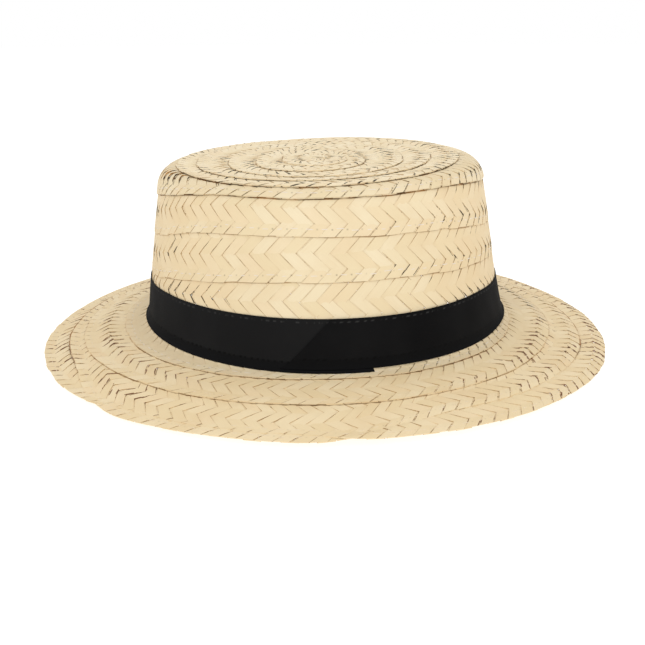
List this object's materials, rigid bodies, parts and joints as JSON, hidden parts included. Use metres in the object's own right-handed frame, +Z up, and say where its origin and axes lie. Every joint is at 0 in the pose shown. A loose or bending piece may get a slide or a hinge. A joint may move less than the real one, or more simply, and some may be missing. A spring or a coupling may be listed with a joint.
{
  "type": "straw boater hat",
  "caption": "Flat-topped straw hat with an oval crown, a level brim and a ribbon round the foot of the crown; the crown is hollow and open below.",
  "frame": {"origin": "under the middle of the hat, on the surface that the brim's edge rests on", "axes": "+Z up through the crown, -Y to the front (the side seen in the picture), +X to the picture's right"},
  "size_m": [0.2776, 0.3022, 0.09],
  "materials": {
    "tip_straw": "natural palm plait, sewn in a coil",
    "side_straw": "natural palm plait, sewn in a coil",
    "brim_straw": "natural palm plait, sewn in a coil",
    "ribbon": "matt black ribbon"
  },
  "bodies": {
    "root": {"crown_tip": "tip_straw", "crown_shoulder": "side_straw", "crown_wall": "side_straw", "brim": "brim_straw", "hat_band": "ribbon"}
  },
  "joints": []
}
